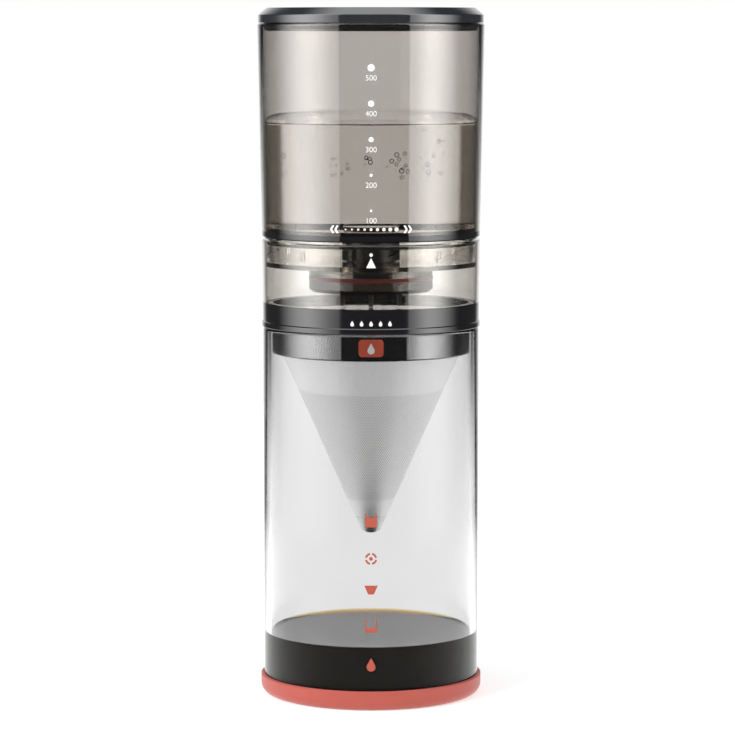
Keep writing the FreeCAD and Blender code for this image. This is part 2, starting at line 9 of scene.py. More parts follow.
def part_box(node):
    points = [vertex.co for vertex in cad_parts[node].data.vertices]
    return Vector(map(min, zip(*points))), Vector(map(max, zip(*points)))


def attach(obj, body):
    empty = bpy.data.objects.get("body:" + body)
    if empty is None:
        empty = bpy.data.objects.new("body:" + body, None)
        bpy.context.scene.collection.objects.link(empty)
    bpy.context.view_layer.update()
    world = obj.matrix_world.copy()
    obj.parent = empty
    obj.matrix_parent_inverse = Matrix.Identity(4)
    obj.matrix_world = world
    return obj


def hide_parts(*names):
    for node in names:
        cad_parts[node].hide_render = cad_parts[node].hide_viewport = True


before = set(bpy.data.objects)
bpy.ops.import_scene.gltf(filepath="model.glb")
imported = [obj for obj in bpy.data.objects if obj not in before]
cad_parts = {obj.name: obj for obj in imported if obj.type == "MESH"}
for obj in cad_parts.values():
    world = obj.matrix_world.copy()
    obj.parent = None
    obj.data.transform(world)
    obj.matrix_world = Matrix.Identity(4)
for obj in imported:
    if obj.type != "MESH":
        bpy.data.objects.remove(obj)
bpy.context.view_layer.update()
MM = 0.001

# Camera, on the photograph's line of sight
CAMERA_PLACE = (-0.0015, -1.4177, 0.291)
CAMERA_TILT_DEG = 5.98
CAMERA_LENS = 160.2
CAMERA_SENSOR = 36
CAMERA_REACH = 20

# Studio light, fixed in the room: degrees round from the object's front, and plain brightness
LEFT_BOX_EDGE = -33
LEFT_BOX_PEAK = -71
LEFT_BOX_END = -118
LEFT_EDGE_SHARE = 0.28
RIGHT_BOX_EDGE = 40
RIGHT_BOX_PEAK = 64
RIGHT_BOX_END = 108
RIGHT_EDGE_SHARE = 0.38
BOX_BRIGHTNESS = 4.2
FRONT_BRIGHTNESS = 0.06
BACKDROP_FROM = 166
BACKDROP_FADE = 20
BACKDROP_BRIGHTNESS = 1.0
OVERHEAD_FROM = 50
OVERHEAD_FADE = 25
OVERHEAD_BRIGHTNESS = 2.2
AMBIENT = 0.55
LAMP_AIM = (0, 0, 0.15)

# Floor of white paper: millimetres, degrees round from the front, and plain brightness
FLOOR_R = 1100
FLOOR_THICK = 4
FLOOR_WHITE = 0.9
FLOOR_GLOW = 0.42
FLOOR_FRONT = 1.15
FLOOR_FRONT_END = 22
FLOOR_SIDES = 1.4
FLOOR_SIDES_FROM = 60
FLOOR_NEAR = 350
FLOOR_FAR = 600

# Walls, steps and rounds of the dressed pieces, in millimetres
GLASS_WALL = 2.7
GLASS_FLOOR = 4.0
GLASS_FOOT_ROUND = 4.0
GLASS_RIM_ROUND = 1.2
GLASS_FLOOR_ROUND = 3.0
TANK_WALL = 1.8
TANK_RIM_ROUND = 0.8
BASE_STEP_WIDTH = 3.1
LID_BEVEL = 3.6
LID_BAND = 3.4
LID_PLATE = 2.2
LID_EDGE_ROUND = 0.7
SKIRT_WALL = 1.6
SEAL_DEPTH = 0.7
SKIRT_GAP = 0.4
SEAT_GAP = 0.2
COLLAR_OVERHANG = 0.1
COLLAR_DRAFT = 0.4
CONE_TIP_R = 3.9

# What the tank and the server hold, in millimetres
WATER_LEVEL = 248.7
COFFEE_LEVEL = 26.5
LIQUID_GAP = 0.15
WETTING = 0.06
MENISCUS_RISE = 0.9
MENISCUS_REACH = 3.0
MENISCUS_FALL = 3.2
MENISCUS_STEPS = 8

# Ink on the outside, in millimetres, and the share of a font's size that its figures fill
INK = 0.06
INK_PROUD = 0.03
INK_WELD = 1e-4
FIGURE_HEIGHT = 2.3
FIGURE_SHARE = 0.7
FIGURE_THINNING = 0.035

# A ray's glossy depth is over this once a shiny surface has reflected it
FIRST_GLOSSY = 0.5

# Keeps every part of an absorption colour above black
DENSITY_MARGIN = 1.05


def corner_of(node, high=True):
    """A CAD node's highest or lowest corner, in millimetres."""
    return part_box(node)[1 if high else 0] / MM


GLASS_R = corner_of("glass_server").x
GLASS_FOOT_Z = corner_of("glass_server", high=False).z
GLASS_RIM_Z = corner_of("glass_server").z
TANK_FOOT_Z = corner_of("water_tank", high=False).z
TANK_RIM_Z = corner_of("water_tank").z
TANK_FOOT_R = corner_of("tank_base").x
TANK_RIM_R = corner_of("water_tank").x
LID_R = corner_of("lid_cap").x
LID_TOP_Z = corner_of("lid_cap").z
COLLAR_TOP_Z = corner_of("drip_collar").z
COLLAR_FOOT_Z = corner_of("drip_collar", high=False).z
RING_TOP_Z = corner_of("filter_ring").z


def tank_r(height):
    """Outer radius of the tapered tank at a height."""
    share = (height - TANK_FOOT_Z) / (TANK_RIM_Z - TANK_FOOT_Z)
    return TANK_FOOT_R + share * (TANK_RIM_R - TANK_FOOT_R)


def collar_r(height):
    """Outer radius of the collar's slight draft at a height."""
    share = (height - COLLAR_FOOT_Z) / (COLLAR_TOP_Z - COLLAR_FOOT_Z)
    return GLASS_R + COLLAR_OVERHANG + share * COLLAR_DRAFT


class Link:
    """A shader socket. Python's operators on it add Math nodes."""

    def __init__(self, finish, socket):
        self.finish = finish
        self.socket = socket

    def __add__(self, other):
        return self.finish.math("ADD", self, other)

    __radd__ = __add__

    def __mul__(self, other):
        return self.finish.math("MULTIPLY", self, other)

    __rmul__ = __mul__

    def __sub__(self, other):
        return self.finish.math("SUBTRACT", self, other)

    def __rsub__(self, other):
        return self.finish.math("SUBTRACT", other, self)

    def __truediv__(self, other):
        return self.finish.math("DIVIDE", self, other)

    def __gt__(self, other):
        return self.finish.math("GREATER_THAN", self, other)

    def __lt__(self, other):
        return self.finish.math("LESS_THAN", self, other)


class Finish:
    """The node tree of one material or of the world."""

    def __init__(self, block):
        block.use_nodes = True
        self.block = block
        self.tree = block.node_tree
        self.tree.nodes.clear()

    def add(self, kind, settings=None, values=None, output=0):
        """One node: its type, its settings, then the values or links of its sockets."""
        node = self.tree.nodes.new("ShaderNode" + kind)
        for name, setting in (settings or {}).items():
            setattr(node, name, setting)
        for name, value in (values or {}).items():
            if isinstance(value, Link):
                self.tree.links.new(value.socket, node.inputs[name])
            else:
                node.inputs[name].default_value = value
        return Link(self, node.outputs[output]) if node.outputs else node

    def math(self, operation, first, second=0.0):
        return self.add("Math", {"operation": operation}, {0: first, 1: second})

    def blend(self, factor, first, second):
        """A colour between two colours."""
        return self.add("Mix", {"data_type": "RGBA"}, {0: factor, 6: first, 7: second}, output=2)

    def ramp(self, value, low, high, to_low=0.0, to_high=1.0):
        """A smooth step of a value between two marks."""
        settings = {"interpolation_type": "SMOOTHSTEP"}
        values = {0: value, 1: low, 2: high, 3: to_low, 4: to_high}
        return self.add("MapRange", settings, values)

    def parts(self, vector):
        """The three numbers of a vector."""
        return [self.add("SeparateXYZ", values={0: vector}, output=axis) for axis in range(3)]

    def place(self):
        """The three coordinates of a point on the piece, in metres of the CAD frame."""
        return self.parts(self.add("TexCoord", output="Object"))

    def round_from_front(self, x, y):
        """Degrees round the object's axis, from 0 at its front, -Y."""
        return self.math("ARCTAN2", x, y * -1.0) * math.degrees(1)

    def noise(self, scale, detail=2.0, stretch=(1, 1, 1)):
        spot = self.add("TexCoord", output="Object")
        spread = self.add("Mapping", values={"Vector": spot, "Scale": stretch})
        return self.add("TexNoise", values={"Vector": spread, "Scale": scale, "Detail": detail})

    def bump(self, height, distance, strength):
        values = {"Height": height, "Distance": distance, "Strength": strength}
        return self.add("Bump", values=values)

    def shader(self, **values):
        """A Principled surface; underscores in a socket's name stand for spaces."""
        named = {name.replace("_", " "): value for name, value in values.items()}
        return self.add("BsdfPrincipled", values=named)

    def facing(self):
        """How far a surface turns away from the line of sight, from 0 to 1."""
        return self.add("LayerWeight", values={"Blend": 0.5}, output="Facing")

    def absorption(self, per_mm):
        """Light lost inside, as the (red, green, blue) exponents for each millimetre."""
        density = max(per_mm) * DENSITY_MARGIN
        colour = [1 - share / density for share in per_mm]
        values = {"Color": (*colour, 1.0), "Density": density / MM}
        return self.add("VolumeAbsorption", values=values)

    def done(self, surface, volume=None):
        values = {"Surface": surface}
        if volume is not None:
            values["Volume"] = volume
        kind = "OutputWorld" if isinstance(self.block, bpy.types.World) else "OutputMaterial"
        self.add(kind, values=values)
        return self.block


def new_finish(name):
    return Finish(bpy.data.materials.new(name))


def opaque(colour, share=1.0):
    """A colour made lighter or darker by a share, with full alpha."""
    return (*[share * part for part in colour], 1.0)


def grey(level):
    return (level, level, level, 1.0)


BLACK = (0.006, 0.006, 0.007)
BLACK_IOR = 1.65


def smoky_plastic(name, tint, per_mm, black_below=None):
    """Clear tinted plastic. Below a height, where one is given, it shows as glossy black."""
    finish = new_finish(name)
    wave = finish.noise(scale=38, detail=1, stretch=(1, 1, 0.35))
    surface = finish.shader(
        Base_Color=opaque(tint),
        Roughness=0.0,
        IOR=1.6,
        Transmission_Weight=1.0,
        Normal=finish.bump(wave, distance=0.00012, strength=0.35),
    )
    if black_below is not None:
        height = finish.place()[2]
        lines = finish.noise(scale=90, detail=3, stretch=(0.4, 0.4, 26))
        black = finish.shader(
            Base_Color=opaque(BLACK),
            Roughness=0.05 + 0.12 * lines,
            IOR=BLACK_IOR,
            Normal=finish.bump(lines, distance=0.00001, strength=0.3),
        )
        low = height < black_below * MM
        surface = finish.add("MixShader", values={0: low, 1: surface, 2: black})
    return finish.done(surface, finish.absorption(per_mm))


def clear_glass():
    """Clear glass with a faint draw in its surface and little shine of its own."""
    finish = new_finish("clear_glass")
    wave = finish.noise(scale=16, detail=1, stretch=(1, 1, 0.3))
    surface = finish.shader(
        Base_Color=grey(0.89),
        Roughness=0.0,
        IOR=1.47,
        Specular_Tint=grey(0.2),
        Transmission_Weight=1.0,
        Normal=finish.bump(wave, distance=0.0002, strength=0.3),
    )
    return finish.done(surface, finish.absorption((0.0075, 0.0070, 0.0075)))


# How far a surface turns away where the painted shade on a liquid's rim and on a bubble's skin
# starts and is full
RIM_SHADE_FROM = 0.42
RIM_SHADE_FULL = 0.5
SKIN_SHADE_FROM = 0.15
SKIN_SHADE_FULL = 0.5


def liquid(name, tint, ior, per_mm, shine=1.0, painted_rim_shade=None, rim_shade_below=0.0):
    """Clear liquid. Below a height, where its side turns away, it is painted darker with a given
    shade colour.
    """
    finish = new_finish(name)
    ripple = finish.noise(scale=30, detail=1)
    colour = opaque(tint)
    if painted_rim_shade:
        # Painted shade: where the side turns away, the colour darkens towards the given shade
        # colour.
        height = finish.place()[2]
        turned = finish.ramp(finish.facing(), RIM_SHADE_FROM, RIM_SHADE_FULL) * (height < rim_shade_below * MM)
        colour = finish.blend(turned, colour, opaque(painted_rim_shade))
    surface = finish.shader(
        Base_Color=colour,
        Roughness=0.0,
        IOR=ior,
        Specular_Tint=grey(shine),
        Transmission_Weight=1.0,
        Normal=finish.bump(ripple, distance=0.0001, strength=0.2),
    )
    return finish.done(surface, finish.absorption(per_mm))


def gloss(name, colour, ior, roughness):
    """Polished opaque plastic, with faint handling marks in its shine."""
    finish = new_finish(name)
    marks = finish.ramp(finish.noise(scale=140, detail=4), 0.45, 0.75)
    wave = finish.noise(scale=60, detail=1)
    surface = finish.shader(
        Base_Color=finish.blend(marks, opaque(colour), opaque(colour, 1.25)),
        Roughness=roughness + 0.04 * marks,
        IOR=ior,
        Normal=finish.bump(wave, distance=0.00006, strength=0.3),
    )
    return finish.done(surface)


def soft_rubber(name, colour, roughness, translucency=0.0):
    """Matt silicone or rubber with a fine moulded grain."""
    finish = new_finish(name)
    cloud = finish.noise(scale=45, detail=3)
    grain = finish.noise(scale=2600, detail=2)
    surface = finish.shader(
        Base_Color=finish.blend(cloud, opaque(colour, 0.88), opaque(colour)),
        Roughness=roughness + 0.1 * cloud,
        Specular_IOR_Level=0.4,
        Sheen_Weight=0.12,
        Sheen_Roughness=0.4,
        Subsurface_Weight=translucency,
        Subsurface_Radius=(0.0016, 0.0006, 0.0004),
        Subsurface_Scale=1.0,
        Normal=finish.bump(grain, distance=0.00003, strength=0.5),
    )
    return finish.done(surface)


def turned_steel(name, colour, roughness):
    """Steel turned on a lathe: fine rings that follow the height."""
    finish = new_finish(name)
    rings = finish.noise(scale=240, detail=3, stretch=(0.6, 0.6, 22))
    surface = finish.shader(
        Base_Color=finish.blend(rings, opaque(colour, 0.86), opaque(colour)),
        Metallic=1.0,
        Roughness=roughness + 0.12 * rings,
        Normal=finish.bump(rings, distance=0.00003, strength=0.35),
    )
    return finish.done(surface)


# The cone's etched holes in metres, the softness of their edge in pitches, and the steel's greys
# with the painted shade in its holes
HOLE_PITCH = 0.9 * MM
HOLE_R = 0.2 * MM
HOLES_FROM_Z = 84.5 * MM
HOLES_TO_Z = 133.0 * MM
HOLE_SOFT_IN = 0.05
HOLE_SOFT_OUT = 0.07
SHEET_DARK = 0.62
SHEET_PALE = 0.74
HOLE_SHADE = 0.30


def perforated_steel():
    """Steel sheet with a honeycomb of etched holes, laid out on the unrolled cone; the holes are
    painted darker as shade.
    """
    tip_low, tip_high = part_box("filter_tip")
    foot_r = CONE_TIP_R * MM
    slope = (tip_high.x - foot_r) / (tip_high.z - tip_low.z)
    half_angle = math.atan(slope)
    apex_z = tip_low.z - foot_r / slope
    finish = new_finish("perforated_steel")
    x, y, z = finish.place()
    slant = (z - apex_z) / math.cos(half_angle)
    turn = finish.math("ARCTAN2", x, y * -1.0) * math.sin(half_angle)
    across = slant * finish.math("SINE", turn) / HOLE_PITCH
    along = slant * finish.math("COSINE", turn) / (HOLE_PITCH * math.sqrt(3))

    def hole_distance(shift):
        """Distance, in pitches, to the nearest hole of one of the honeycomb's two grids."""
        cell_x = finish.math("FRACT", across + shift) - 0.5
        cell_y = (finish.math("FRACT", along + shift) - 0.5) * math.sqrt(3)
        return finish.math("SQRT", cell_x * cell_x + cell_y * cell_y)

    nearest = finish.math("MINIMUM", hole_distance(0.0), hole_distance(0.5))
    edge = HOLE_R / HOLE_PITCH
    reach = (z > HOLES_FROM_Z) * (z < HOLES_TO_Z)
    # Painted shade: the holes take the darker grey HOLE_SHADE.
    hole = finish.ramp(nearest, edge - HOLE_SOFT_IN, edge + HOLE_SOFT_OUT, 1.0, 0.0) * reach
    brushed = finish.noise(scale=900, detail=3, stretch=(1, 1, 0.05))
    steel = finish.blend(brushed, grey(SHEET_DARK), grey(SHEET_PALE))
    surface = finish.shader(
        Base_Color=finish.blend(hole, steel, grey(HOLE_SHADE)),
        Metallic=1.0,
        Roughness=0.3 + 0.12 * brushed + 0.2 * hole,
        Normal=finish.bump(1.0 - hole, distance=0.0001, strength=0.3),
    )
    return finish.done(surface)


def ink(name, colour):
    """Printed ink, slightly speckled."""
    finish = new_finish(name)
    speckle = finish.noise(scale=1800, detail=2)
    surface = finish.shader(
        Base_Color=finish.blend(speckle, opaque(colour, 0.93), opaque(colour)),
        Roughness=0.45 + 0.1 * speckle,
    )
    return finish.done(surface)


def bubble_skin():
    """A bubble in water: clear in the middle, glossy round the edge, and painted dark there as
    shade.
    """
    finish = new_finish("bubble_skin")
    painted_rim_shade = finish.ramp(finish.facing(), SKIN_SHADE_FROM, SKIN_SHADE_FULL)
    clear = finish.add("BsdfTransparent", values={"Color": grey(1.0)})
    # Painted shade: the bubble's edge is coloured near black.
    dark = finish.shader(
        Base_Color=opaque((0.03, 0.027, 0.024)),
        Roughness=0.05 + 0.02 * painted_rim_shade,
    )
    return finish.done(finish.add("MixShader", values={0: painted_rim_shade, 1: clear, 2: dark}))


def piece(name, mesh, finish, body, replaces=()):
    """Puts a finished mesh in the scene on its body."""
    made = bpy.data.objects.new(name, mesh)
    bpy.context.scene.collection.objects.link(made)
    mesh.materials.clear()
    mesh.materials.append(finish)
    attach(made, body)
    if replaces:
        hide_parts(*replaces)


def rounded(corners, steps=6):
    """An outline's points in millimetres, with an arc at each corner that gives a radius."""
    points = []
    for index, corner in enumerate(corners):
        here = Vector(corner[:2])
        if len(corner) == 2:
            points.append(here)
            continue
        back = (Vector(corners[index - 1][:2]) - here).normalized()
        ahead = (Vector(corners[(index + 1) % len(corners)][:2]) - here).normalized()
        half_angle = back.angle(ahead) / 2
        radius = corner[2]
        centre = here + (back + ahead).normalized() * (radius / math.sin(half_angle))
        start = here + back * (radius / math.tan(half_angle)) - centre
        end = here + ahead * (radius / math.tan(half_angle)) - centre
        sweep = start.angle_signed(end)
        for step in range(steps + 1):
            turned = start.copy()
            turned.rotate(Matrix.Rotation(-sweep * step / steps, 2))
            points.append(centre + turned)
    return points


ON_AXIS = 1e-6


def lathe(name, outline, segments=192, sharp_deg=35):
    """A turned mesh from (radius, height) points in millimetres. A point on the axis is a pole."""
    mesh = bpy.data.meshes.new(name)
    work = bmesh.new()
    rings = []
    for radius, height in outline:
        if radius < ON_AXIS:
            rings.append([work.verts.new((0, 0, height * MM))])
            continue
        ring = []
        for index in range(segments):
            angle = 2 * math.pi * index / segments
            ring.append(work.verts.new((
                radius * MM * math.cos(angle),
                radius * MM * math.sin(angle),
                height * MM,
            )))
        rings.append(ring)
    for index, ring in enumerate(rings):
        following = rings[(index + 1) % len(rings)]
        if len(ring) == 1 and len(following) == 1:
            continue
        for step in range(segments):
            after = (step + 1) % segments
            corners = [
                ring[step % len(ring)],
                following[step % len(following)],
                following[after % len(following)],
                ring[after % len(ring)],
            ]
            work.faces.new(list(dict.fromkeys(corners)))
    bmesh.ops.recalc_face_normals(work, faces=work.faces)
    for face in work.faces:
        face.smooth = True
    work.to_mesh(mesh)
    work.free()
    mesh.set_sharp_from_angle(angle=math.radians(sharp_deg))
    return mesh


def glass_outline():
    bore = GLASS_R - GLASS_WALL
    return rounded([
        (0, GLASS_FOOT_Z),
        (GLASS_R, GLASS_FOOT_Z, GLASS_FOOT_ROUND),
        (GLASS_R, GLASS_RIM_Z, GLASS_RIM_ROUND),
        (bore, GLASS_RIM_Z, GLASS_RIM_ROUND),
        (bore, GLASS_FOOT_Z + GLASS_FLOOR, GLASS_FLOOR_ROUND),
        (0, GLASS_FOOT_Z + GLASS_FLOOR),
    ], steps=8)


def tank_outline():
    return rounded([
        (TANK_FOOT_R - TANK_WALL, TANK_FOOT_Z),
        (TANK_FOOT_R, TANK_FOOT_Z),
        (TANK_RIM_R, TANK_RIM_Z, TANK_RIM_ROUND),
        (TANK_RIM_R - TANK_WALL, TANK_RIM_Z, TANK_RIM_ROUND),
    ])


def lid_outline():
    """The lid's plate, bevelled edge and skirt, with the groove that holds its seal."""
    foot_z = TANK_RIM_Z + SEAT_GAP
    skirt_foot_z = corner_of("lid_cap", high=False).z
    seal_low, seal_high = corner_of("lid_seal", high=False).z, corner_of("lid_seal").z
    skirt_r = tank_r(skirt_foot_z) - TANK_WALL - SKIRT_GAP
    groove_r = skirt_r - SEAL_DEPTH
    under_z = LID_TOP_Z - LID_PLATE
    return rounded([
        (0, LID_TOP_Z),
        (LID_R - LID_BEVEL, LID_TOP_Z, LID_EDGE_ROUND),
        (LID_R, foot_z + LID_BAND, LID_EDGE_ROUND),
        (LID_R, foot_z, LID_EDGE_ROUND / 2),
        (skirt_r, foot_z),
        (skirt_r, seal_high),
        (groove_r, seal_high),
        (groove_r, seal_low),
        (skirt_r, seal_low),
        (skirt_r, skirt_foot_z),
        (groove_r - SKIRT_WALL, skirt_foot_z),
        (groove_r - SKIRT_WALL, under_z, SKIRT_WALL),
        (0, under_z),
    ])


def meniscus(bore, level):
    """The surface of a liquid from the wall to the middle, drawn up at the wall."""
    points = []
    for step in range(MENISCUS_STEPS + 1):
        away = MENISCUS_REACH * (step / MENISCUS_STEPS) ** 2
        rise = MENISCUS_RISE * math.exp(-MENISCUS_FALL * away / MENISCUS_REACH)
        points.append((bore - away, level + rise))
    points.append((bore * 0.5, level))
    points.append((0, level))
    return points


def water_outline():
    """The water stands on the tank's floor, its step and the outlet's flange."""
    flange_r = corner_of("outlet_spigot").x + LIQUID_GAP
    flange_z = corner_of("outlet_spigot").z + LIQUID_GAP
    step_z = corner_of("tank_base").z + LIQUID_GAP
    step_r = TANK_FOOT_R - TANK_WALL - BASE_STEP_WIDTH - LIQUID_GAP
    foot_z = TANK_FOOT_Z + LIQUID_GAP
    wall = TANK_WALL + LIQUID_GAP
    outline = [
        (0, flange_z),
        (flange_r, flange_z),
        (flange_r, foot_z),
        (step_r, foot_z),
        (step_r, step_z),
        (tank_r(step_z) - wall, step_z),
    ]
    return outline + meniscus(tank_r(WATER_LEVEL) - wall, WATER_LEVEL)


def coffee_outline():
    """The coffee wets the glass: it reaches just into it, and so shows to the glass's edge."""
    bore = GLASS_R - GLASS_WALL + WETTING
    foot_z = GLASS_FOOT_Z + GLASS_FLOOR - WETTING
    foot = rounded([(0, foot_z), (bore, foot_z, GLASS_FLOOR_ROUND), (bore, COFFEE_LEVEL)])[:-1]
    return foot + meniscus(bore, COFFEE_LEVEL)


def circle(across, up, radius, count=40):
    turns = [2 * math.pi * k / count for k in range(count)]
    return [(across + radius * math.cos(turn), up + radius * math.sin(turn)) for turn in turns]


DROP_POINT = 2.1
DROP_ARC_DEG = 250
DROP_ARC_STEPS = 24


def drop(across, up, radius):
    """A drop of water, point up, with its round end about (across, up)."""
    arc = []
    for k in range(DROP_ARC_STEPS + 1):
        turn = math.radians(-DROP_ARC_DEG / 2 + DROP_ARC_DEG * k / DROP_ARC_STEPS)
        arc.append((across + radius * math.sin(turn), up - radius * math.cos(turn)))
    return arc + [(across, up + DROP_POINT * radius)]


def figures_curve(name, words):
    """Figures in the plain font, centred, in millimetres."""
    curve = bpy.data.curves.new(name, "FONT")
    curve.body = words
    curve.size = FIGURE_HEIGHT / FIGURE_SHARE
    curve.offset = -FIGURE_THINNING
    curve.align_x = "CENTER"
    curve.align_y = "CENTER"
    return curve


def outlines_curve(name, outlines):
    """Closed outlines in millimetres, filled."""
    curve = bpy.data.curves.new(name, "CURVE")
    curve.dimensions = "2D"
    curve.fill_mode = "BOTH"
    for outline in outlines:
        spline = curve.splines.new("POLY")
        spline.points.add(len(outline) - 1)
        for point, spot in zip(spline.points, outline):
            point.co = (spot[0], spot[1], 0, 1)
        spline.use_cyclic_u = True
    return curve


def ink_mesh(name, radius_at, height, outlines=(), words=None):
    """Filled outlines or figures, made as thick as ink and wrapped round the front at a height."""
    curve = figures_curve(name, words) if words else outlines_curve(name, outlines)
    curve.extrude = INK / 2
    holder = bpy.data.objects.new(name, curve)
    mesh = bpy.data.meshes.new_from_object(holder)
    bpy.data.objects.remove(holder)
    work = bmesh.new()
    work.from_mesh(mesh)
    bmesh.ops.remove_doubles(work, verts=work.verts, dist=INK_WELD)
    for vertex in work.verts:
        across, up, out = vertex.co
        radius = radius_at(height + up) + INK_PROUD + INK / 2 + out
        angle = across / radius
        spot = Vector((radius * math.sin(angle), -radius * math.cos(angle), height + up))
        vertex.co = spot * MM
    bmesh.ops.recalc_face_normals(work, faces=work.faces)
    work.to_mesh(mesh)
    work.free()
    return mesh


CLEAR_SMOKE = {"tint": (0.90, 0.89, 0.87), "per_mm": (0.06, 0.065, 0.075)}

FINISH = {
    "smoky": smoky_plastic(
        "smoky_plastic", tint=(0.875, 0.858, 0.835), per_mm=(0.119, 0.126, 0.135)),
    "collar": smoky_plastic("light_smoky_plastic", **CLEAR_SMOKE),
    "web": smoky_plastic(
        "pale_smoky_plastic", tint=(0.93, 0.92, 0.90), per_mm=(0.015, 0.017, 0.020)),
    "banded": smoky_plastic("black_footed_plastic", **CLEAR_SMOKE, black_below=RING_TOP_Z),
    "head": smoky_plastic("deep_smoky_plastic", tint=(0.74, 0.70, 0.66), per_mm=(0.42, 0.47, 0.53)),
    "glass": clear_glass(),
    # The water's side is painted dark brown as shade where it turns away below its surface.
    "water": liquid(
        "water", tint=(0.98, 0.98, 0.975), ior=1.33, per_mm=(0.0009, 0.0011, 0.0014),
        painted_rim_shade=(0.12, 0.10, 0.08), rim_shade_below=WATER_LEVEL - LIQUID_GAP),
    "coffee": liquid(
        "coffee", tint=(0.9, 0.8, 0.62), ior=1.34, per_mm=(0.25, 0.42, 0.95), shine=0.2),
    "lid": gloss("lid_gloss", (0.018, 0.019, 0.023), ior=1.8, roughness=0.07),
    "black": gloss("black_gloss", BLACK, ior=BLACK_IOR, roughness=0.04),
    "ring": gloss("ring_gloss", (0.005, 0.005, 0.006), ior=2.3, roughness=0.04),
    "coral_enamel": gloss("coral_enamel", (0.64, 0.10, 0.05), ior=1.5, roughness=0.25),
    "dark": gloss("dark_plastic", (0.15, 0.118, 0.108), ior=1.5, roughness=0.18),
    "coral": soft_rubber(
        "coral_silicone", (0.42, 0.08, 0.058), roughness=0.42, translucency=0.08),
    "red": soft_rubber("red_silicone", (0.36, 0.05, 0.05), roughness=0.35, translucency=0.1),
    "rubber": soft_rubber("black_rubber", (0.02, 0.02, 0.02), roughness=0.5),
    "steel": turned_steel("turned_steel", (0.62, 0.62, 0.61), roughness=0.22),
    "cone": perforated_steel(),
    "white_ink": ink("white_ink", (0.9, 0.9, 0.88)),
    "coral_ink": ink("coral_ink", (0.40, 0.072, 0.042)),
    "bubble": bubble_skin(),
}

NODE_FINISH = {
    "silicone_base": "coral",
    "filter_ring": "ring",
    "filter_badge": "coral_enamel",
    "filter_cone": "cone",
    "filter_hoop": "steel",
    "filter_tip": "steel",
    "spreader_plate": "collar",
    "drip_collar": "banded",
    "collar_web": "web",
    "valve_cup": "collar",
    "head_gasket": "red",
    "drip_head": "head",
    "drip_nozzles": "dark",
    "needle_guide": "dark",
    "needle_carrier": "dark",
    "cam_pins": "steel",
    "valve_needle": "steel",
    "control_sleeve": "dark",
    "outlet_spigot": "dark",
    "orifice_seat": "red",
    "outlet_gasket": "red",
    "spigot_nut": "steel",
    "tank_base": "black",
    "tank_neck": "collar",
    "neck_o_ring": "rubber",
    "lid_seal": "rubber",
}


def dress_nodes():
    """The CAD nodes that show as they are get their finishes."""
    for node, finish in NODE_FINISH.items():
        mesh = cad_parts[node].data
        mesh.materials.clear()
        mesh.materials.append(FINISH[finish])


def shells_and_liquids():
    """Turned pieces: three that replace solids, and what the tank and the server hold."""
    turned = [
        ("glass_wall", glass_outline(), "glass", "clear_glass", "server", ["glass_server"]),
        ("tank_wall", tank_outline(), "smoky", "smoky_plastic", "tank", ["water_tank"]),
        ("lid_shell", lid_outline(), "lid", "lid_gloss", "lid", ["lid_cap"]),
        ("water", water_outline(), "water", "water", "tank", []),
        ("coffee", coffee_outline(), "coffee", "coffee", "server", []),
    ]
    for name, outline, finish, slot, body, replaced in turned:
        piece(name, lathe(name, outline), FINISH[finish], body, replaced)


# Bubbles in millimetres. A cluster is (degrees round from the front, height, count, spread).
BUBBLE_CLUSTERS = [
    (-17, 232, 9, 5),
    (-1, 236, 5, 4),
    (14, 232, 12, 6),
    (33, 236, 14, 9),
    (-48, 234, 6, 8),
    (150, 234, 6, 14),
    (-140, 230, 5, 14),
]
BUBBLE_SEED = 7
BUBBLE_SMALLEST = 0.5
BUBBLE_LARGEST = 1.35
BUBBLE_RISE_SHARE = 0.9
BUBBLE_GAP = 0.1


def bubbles():
    """Small bubbles that cling inside the water, close to the tank's wall."""
    dice = random.Random(BUBBLE_SEED)
    mesh = bpy.data.meshes.new("water_bubbles")
    work = bmesh.new()
    for middle, height, count, spread in BUBBLE_CLUSTERS:
        for _ in range(count):
            radius = BUBBLE_SMALLEST + (BUBBLE_LARGEST - BUBBLE_SMALLEST) * dice.random() ** 2
            z = height + dice.uniform(-BUBBLE_RISE_SHARE, BUBBLE_RISE_SHARE) * spread
            angle = math.radians(middle + dice.uniform(-1, 1) * spread)
            inward = TANK_WALL + 2 * LIQUID_GAP + radius + BUBBLE_GAP
            reach = tank_r(z) - inward
            spot = Vector((reach * math.sin(angle), -reach * math.cos(angle), z)) * MM
            made = bmesh.ops.create_icosphere(work, subdivisions=2, radius=radius * MM)
            bmesh.ops.translate(work, verts=made["verts"], vec=spot)
    for face in work.faces:
        face.smooth = True
    work.to_mesh(mesh)
    work.free()
    piece("water_bubbles", mesh, FINISH["bubble"], "tank")


# The tank's print, in millimetres. A mark is (millilitres, height of the dot, its radius).
VOLUME_MARKS = [
    (500, 273.2, 1.5),
    (400, 258.3, 1.28),
    (300, 243.3, 1.05),
    (200, 228.4, 0.65),
    (100, 213.5, 0.5),
]
FIGURES_BELOW = 4.3
FLOW_SCALE_Z = 205.6
CHEVRON = [(-0.9, 1.6), (0.0, 1.6), (0.95, 0.0), (0.0, -1.6), (-0.9, -1.6), (0.05, 0.0)]
CHEVRON_OUT = 15.7
CHEVRON_APART = 0.95
FLOW_DOTS = 9
FLOW_DOT_SPACING = 2.7
FLOW_DOT_SMALLEST = 0.3
FLOW_DOT_GROWTH = 0.55


def chevrons(side):
    """Two arrow heads side by side that point to one side."""
    outlines = []
    for shift in (-CHEVRON_APART, CHEVRON_APART):
        middle = side * CHEVRON_OUT + shift
        outlines.append([(middle + side * across, up) for across, up in CHEVRON])
    return outlines


def white_print(name, radius_at, height, body, **shape):
    mesh = ink_mesh(name, radius_at, height, **shape)
    piece(name, mesh, FINISH["white_ink"], body)


